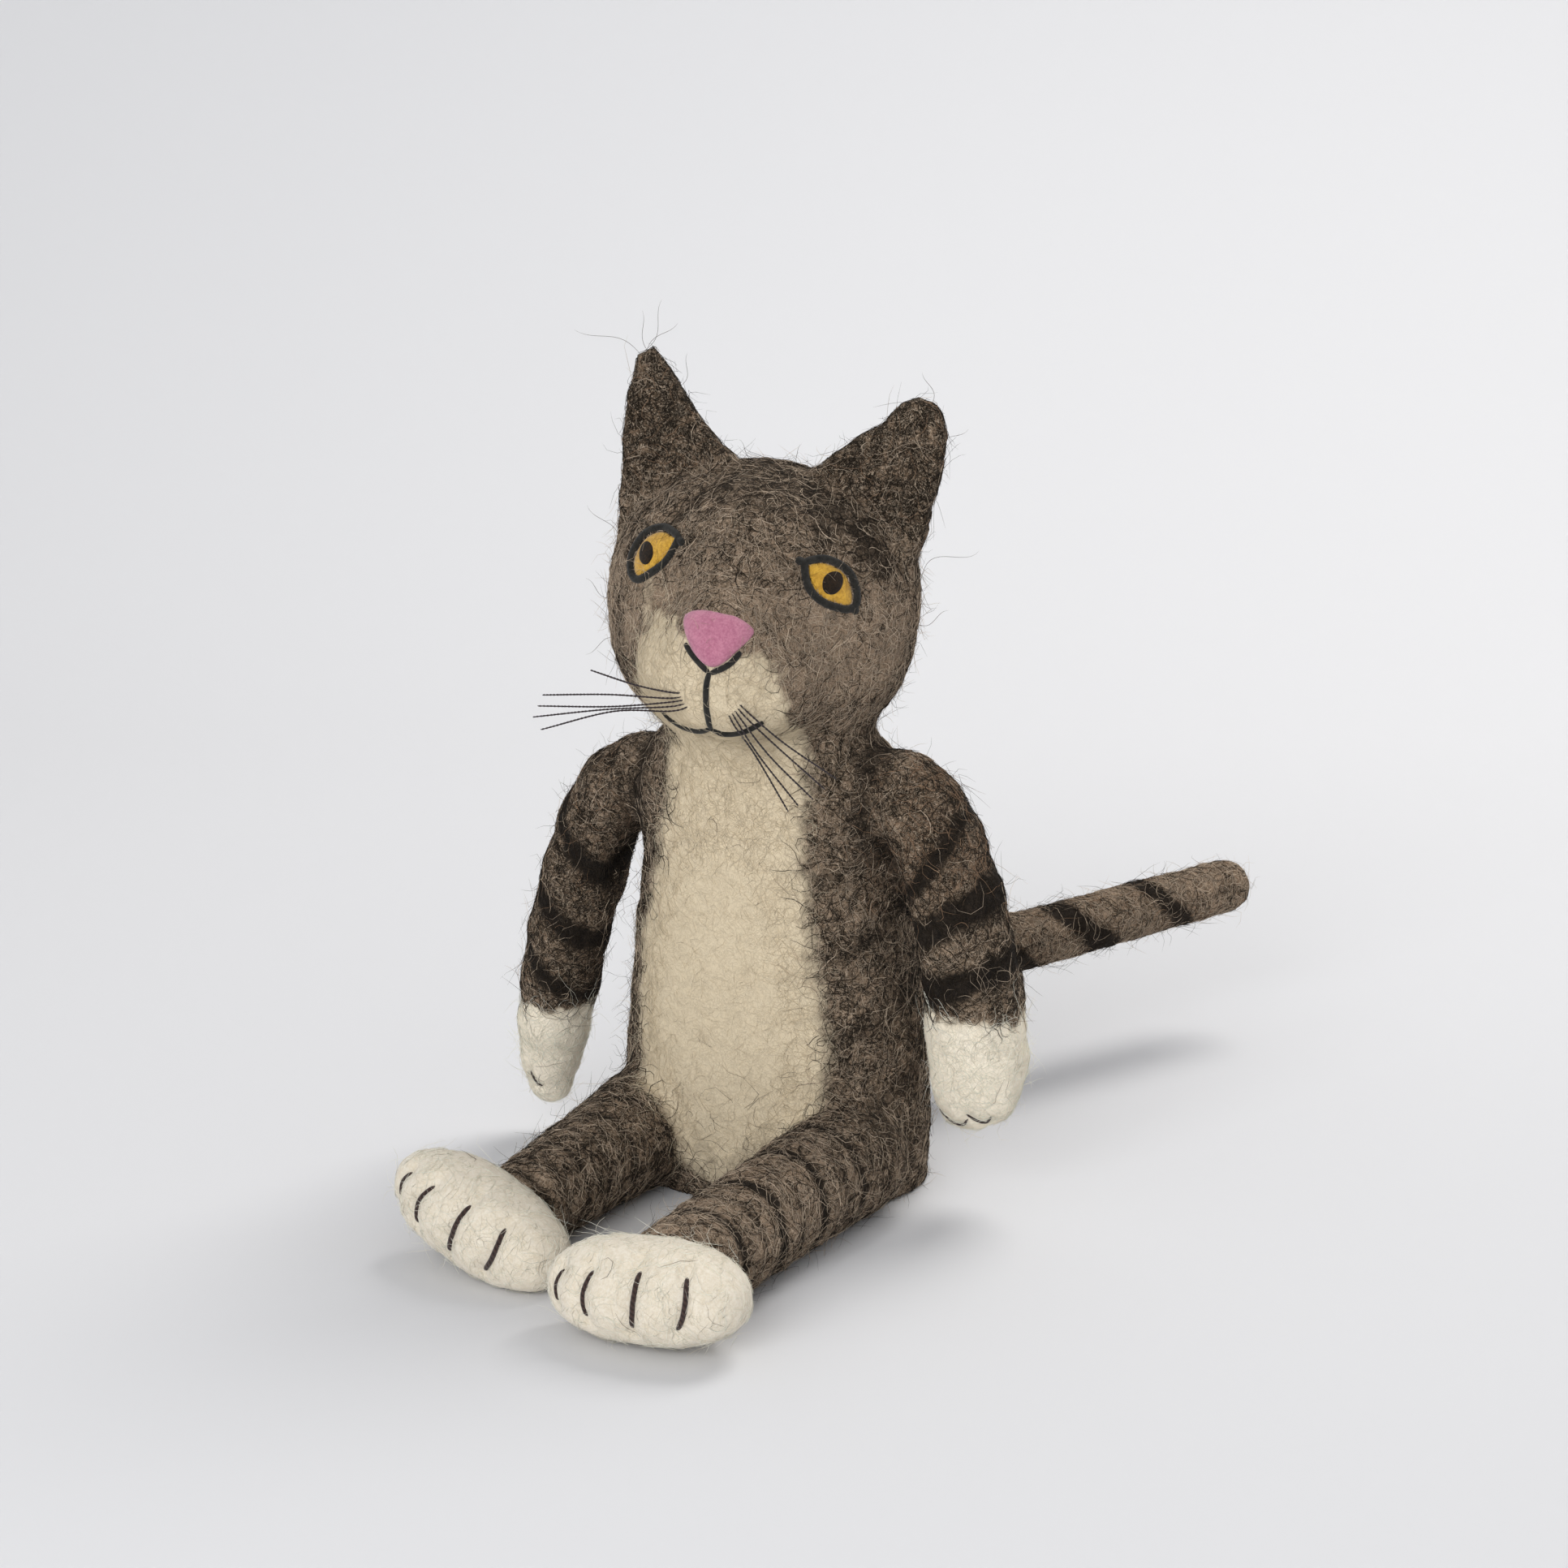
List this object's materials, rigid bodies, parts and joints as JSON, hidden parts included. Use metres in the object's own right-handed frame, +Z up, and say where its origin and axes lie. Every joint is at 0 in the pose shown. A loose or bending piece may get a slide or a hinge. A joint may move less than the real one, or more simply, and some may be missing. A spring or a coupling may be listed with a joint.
{
  "type": "cat glove puppet",
  "caption": "Seated felted-wool cat glove puppet with a hollow body for the hand, stuffed head and legs, hollow arms, whiskers and a firm tail.",
  "frame": {"origin": "middle of the hand opening, on the surface that the puppet sits on", "axes": "+Z up, the cat's body faces -Y, +X towards the cat's left side; -Z is the way the hand comes out"},
  "size_m": [0.1613, 0.3345, 0.2378],
  "materials": {
    "tabby_wool": "felted wool, grey-brown with dark stripes, fuzzy",
    "ear_wool": "felted wool, dark brown, thick and fuzzy",
    "cream_wool": "felted wool, cream, soft",
    "white_wool": "felted wool, off-white, soft",
    "brown_yarn": "twisted yarn, dark brown, matt",
    "pink_wool": "needle-felted wool, pink",
    "black_wool": "needle-felted wool, black",
    "amber_wool": "needle-felted wool, amber",
    "waxed_thread": "waxed twisted thread, dark, slight sheen",
    "fibre_filling": "loose wool filling",
    "core_wool": "tightly rolled wool",
    "neck_felt": "felted wool, grey-brown"
  },
  "bodies": {
    "torso": {"torso_shell": "tabby_wool", "belly_panel": "cream_wool"},
    "neck": {"neck_ring": "neck_felt"},
    "head": {"head_shell": "tabby_wool", "head_stuffing": "fibre_filling", "muzzle_pad": "cream_wool", "nose_pad": "pink_wool", "mouth_line": "black_wool", "eye_rim_left": "black_wool", "eye_rim_right": "black_wool", "eye_iris_left": "amber_wool", "eye_iris_right": "amber_wool", "eye_pupil_left": "black_wool", "eye_pupil_right": "black_wool", "ear_left": "ear_wool", "ear_right": "ear_wool", "whiskers_left": "waxed_thread", "whiskers_right": "waxed_thread"},
    "tail": {"tail_cover": "tabby_wool", "tail_core": "core_wool"},
    "arm_left": {"arm_sleeve_left": "tabby_wool", "arm_paw_left": "cream_wool", "arm_toe_stitches_left": "brown_yarn"},
    "leg_left": {"leg_cover_left": "tabby_wool", "leg_stuffing_left": "fibre_filling", "foot_left": "white_wool", "foot_toe_stitches_left": "brown_yarn"},
    "arm_right": {"arm_sleeve_right": "tabby_wool", "arm_paw_right": "cream_wool", "arm_toe_stitches_right": "brown_yarn"},
    "leg_right": {"leg_cover_right": "tabby_wool", "leg_stuffing_right": "fibre_filling", "foot_right": "white_wool", "foot_toe_stitches_right": "brown_yarn"}
  },
  "joints": [
    {"name": "head_turn", "type": "hinge", "parent": "torso", "child": "neck", "pos_m": [0, -0.006, 0.133], "axis": [0, 0, 1], "range_deg": [-40, 20], "stiffness_Nm_per_rad": 0.3},
    {"name": "head_nod", "type": "hinge", "parent": "neck", "child": "head", "pos_m": [0, -0.006, 0.133], "axis": [-0.981, -0.1942, 0], "range_deg": [-18, 18], "stiffness_Nm_per_rad": 0.3},
    {"name": "arm_left_raise", "type": "hinge", "parent": "torso", "child": "arm_left", "pos_m": [0.04, -0.004, 0.117], "axis": [-1, 0, 0], "range_deg": [-15, 90]},
    {"name": "arm_right_raise", "type": "hinge", "parent": "torso", "child": "arm_right", "pos_m": [-0.04, -0.004, 0.1135], "axis": [-1, 0, 0], "range_deg": [-15, 90]},
    {"name": "leg_left_lift", "type": "hinge", "parent": "torso", "child": "leg_left", "pos_m": [0.028, -0.044, 0.018], "axis": [-1, 0, 0], "range_deg": [-45, 20]},
    {"name": "leg_right_lift", "type": "hinge", "parent": "torso", "child": "leg_right", "pos_m": [-0.028, -0.044, 0.018], "axis": [-1, 0, 0], "range_deg": [-45, 20]},
    {"name": "tail_swing", "type": "hinge", "parent": "torso", "child": "tail", "pos_m": [0.005, 0.046, 0.043], "axis": [0, 0, 1], "range_deg": [-25, 75], "stiffness_Nm_per_rad": 0.1}
  ]
}
